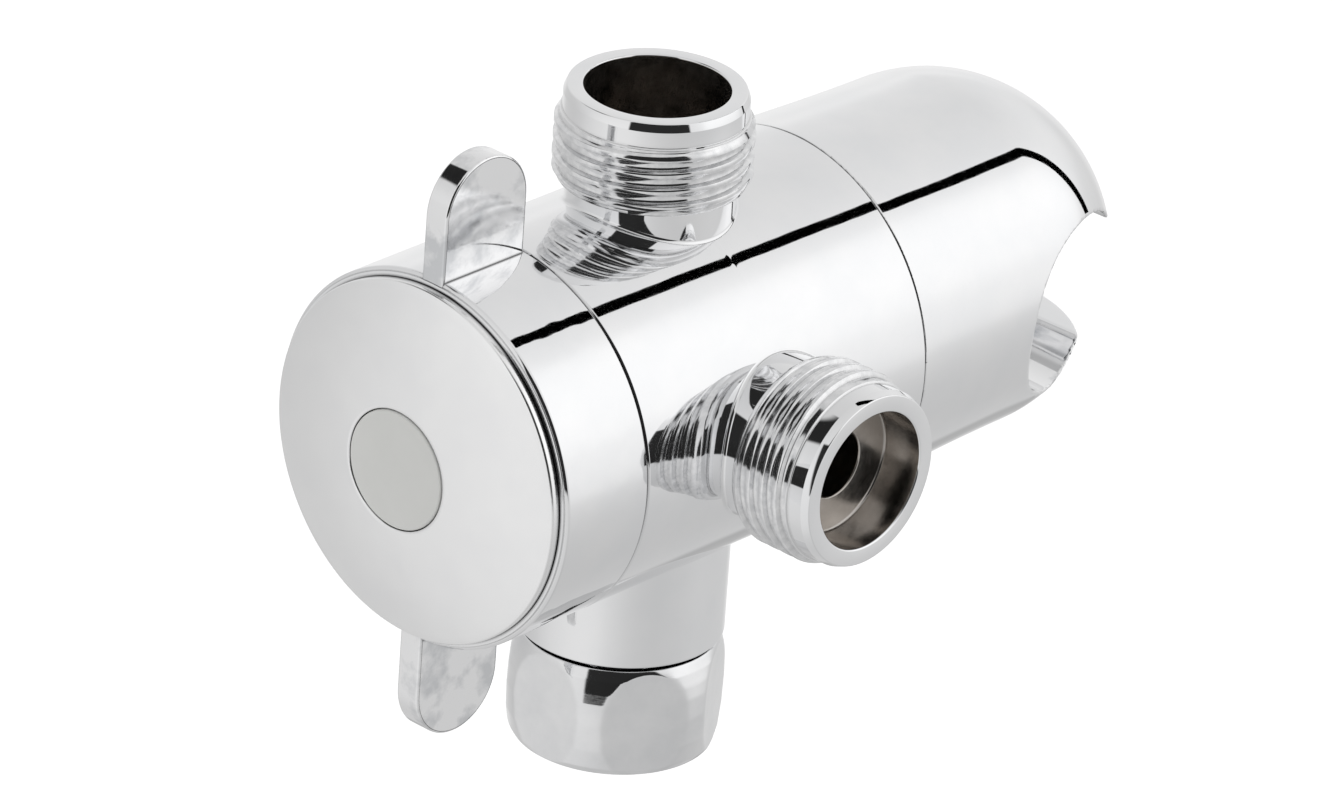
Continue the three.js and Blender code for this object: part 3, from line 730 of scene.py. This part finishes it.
stage_mesh("black_flag", ribbon, ribbon_faces, plain_glow("flag_black", 0.0), camera=False, glossy=True)

world = bpy.data.worlds.new("light_tent")
world.use_nodes = True
bpy.context.scene.world = world


def light_tent(nodes, links):
    """A tent of soft light: brightest at the photograph's right, with fainter lobes round it.

    Its brightness is a function of direction only. Each lobe is a curve over the cosine of the angle from
    its own direction. Openings in the tent show as the dark marks that chrome needs.
    """
    background = nodes["Background"]
    where = nodes.new("ShaderNodeTexCoord").outputs["Generated"]

    def lobe(direction, stops):
        direction = np.array(direction, float) / np.linalg.norm(direction)
        dot = nodes.new("ShaderNodeVectorMath")
        dot.operation = "DOT_PRODUCT"
        links.new(where, dot.inputs[0])
        dot.inputs[1].default_value = direction
        curve = nodes.new("ShaderNodeFloatCurve")
        points = curve.mapping.curves[0].points
        scaled = nodes.new("ShaderNodeMapRange")
        scaled.inputs["From Min"].default_value = -1
        scaled.inputs["From Max"].default_value = 1
        links.new(dot.outputs["Value"], scaled.inputs["Value"])
        while len(points) < len(stops):
            points.new(0.5, 0.5)
        for point, (at, level) in zip(points, stops):
            point.location = ((at + 1) / 2, level)
        curve.mapping.update()
        links.new(scaled.outputs["Result"], curve.inputs["Value"])
        return curve.outputs["Value"]

    def ramp(value, low, high, level_low, level_high):
        node = nodes.new("ShaderNodeMapRange")
        node.interpolation_type = "SMOOTHSTEP"
        node.inputs["From Min"].default_value = low
        node.inputs["From Max"].default_value = high
        node.inputs["To Min"].default_value = level_low
        node.inputs["To Max"].default_value = level_high
        links.new(value, node.inputs["Value"])
        return node.outputs["Result"]

    def calc(operation, *values):
        node = nodes.new("ShaderNodeMath")
        node.operation = operation
        for socket, value in zip(node.inputs, values):
            if isinstance(value, (int, float)):
                socket.default_value = value
            else:
                links.new(value, socket)
        return node.outputs["Value"]

    split = nodes.new("ShaderNodeSeparateXYZ")
    links.new(where, split.inputs[0])
    bearing = calc("ARCTAN2", split.outputs["X"], calc("MULTIPLY", split.outputs["Y"], -1.0))
    height = calc("ARCSINE", split.outputs["Z"])

    def between(value, start, end, soft):
        """1 between two angles, 0 outside them, with soft edges."""
        rise = ramp(value, start - soft, start + soft, 0, 1)
        fall = ramp(value, end - soft, end + soft, 1, 0)
        return calc("MULTIPLY", rise, fall)

    def opening(left, right, low, high, soft, depth):
        """1 outside an opening in the tent, less inside it; its edges are in degrees."""
        left, right, low, high, soft = (math.radians(angle) for angle in (left, right, low, high, soft))
        inside = calc("MULTIPLY", between(bearing, left, right, soft), between(height, low, high, soft))
        return calc("SUBTRACT", 1.0, calc("MULTIPLY", inside, depth))

    key = lobe((0.67, -0.70, 0.23), [(-1, 0.60), (-0.3, 0.63), (0.35, 0.655), (0.56, 0.70), (0.74, 0.76),
                                     (0.83, 0.83), (0.91, 0.97), (0.96, 1.0), (1, 1.0)])
    top = lobe((0, 0, 1), [(-1, 0.0), (-0.05, 0.0), (0.2, 0.10), (0.6, 0.12), (1, 0.12)])
    far = lobe((0.67, 0.70, -0.25), [(-1, 0.0), (0.8, 0.0), (0.93, 0.14), (1, 0.25)])
    left = lobe((-0.87, 0.25, -0.42), [(-1, 0.0), (0.35, 0.0), (0.7, 0.09), (0.9, 0.21), (1, 0.26)])
    glow = calc("ADD", calc("ADD", key, top), calc("ADD", far, left))
    for gap in (opening(-79, -5.5, -13, 48, 1.5, 0.97),       # round the camera, wide and black
                opening(-176, -124, 38, 58, 2.0, 0.97),       # high at the photograph's left
                opening(108, 150, -58, -34, 4.0, 0.28)):      # low behind the valve, only a shade darker
        glow = calc("MULTIPLY", glow, gap)
    links.new(glow, background.inputs["Color"])
    background.inputs["Strength"].default_value = 1.08


light_tent(world.node_tree.nodes, world.node_tree.links)

# camera at the photograph's angle
AZIMUTH, ELEVATION, ROLL, DISTANCE = (math.radians(-48.49), math.radians(26.32), math.radians(4.09), 1.07885)
back = np.array([math.sin(AZIMUTH) * math.cos(ELEVATION), -math.cos(AZIMUTH) * math.cos(ELEVATION),
                 math.sin(ELEVATION)])
right = np.array([math.cos(AZIMUTH), math.sin(AZIMUTH), 0.0])
up = np.cross(back, right)
right, up = (math.cos(ROLL) * right + math.sin(ROLL) * up, -math.sin(ROLL) * right + math.cos(ROLL) * up)
camera_data = bpy.data.cameras.new("camera")
camera = bpy.data.objects.new("camera", camera_data)
bpy.context.scene.collection.objects.link(camera)
spot = back * DISTANCE + np.array([0, 0, AXIS_HEIGHT * MM])
pose = Matrix.Identity(4)
for row in range(3):
    pose[row][0], pose[row][1], pose[row][2], pose[row][3] = right[row], up[row], back[row], spot[row]
camera.matrix_world = pose
camera_data.sensor_width = 36.0
camera_data.lens = 279.4
camera_data.shift_x = 0.0218
camera_data.shift_y = -0.0226
camera_data.clip_end = 40
bpy.context.scene.camera = camera

scene = bpy.context.scene
scene.view_settings.view_transform = "Standard"
scene.view_settings.look = "None"
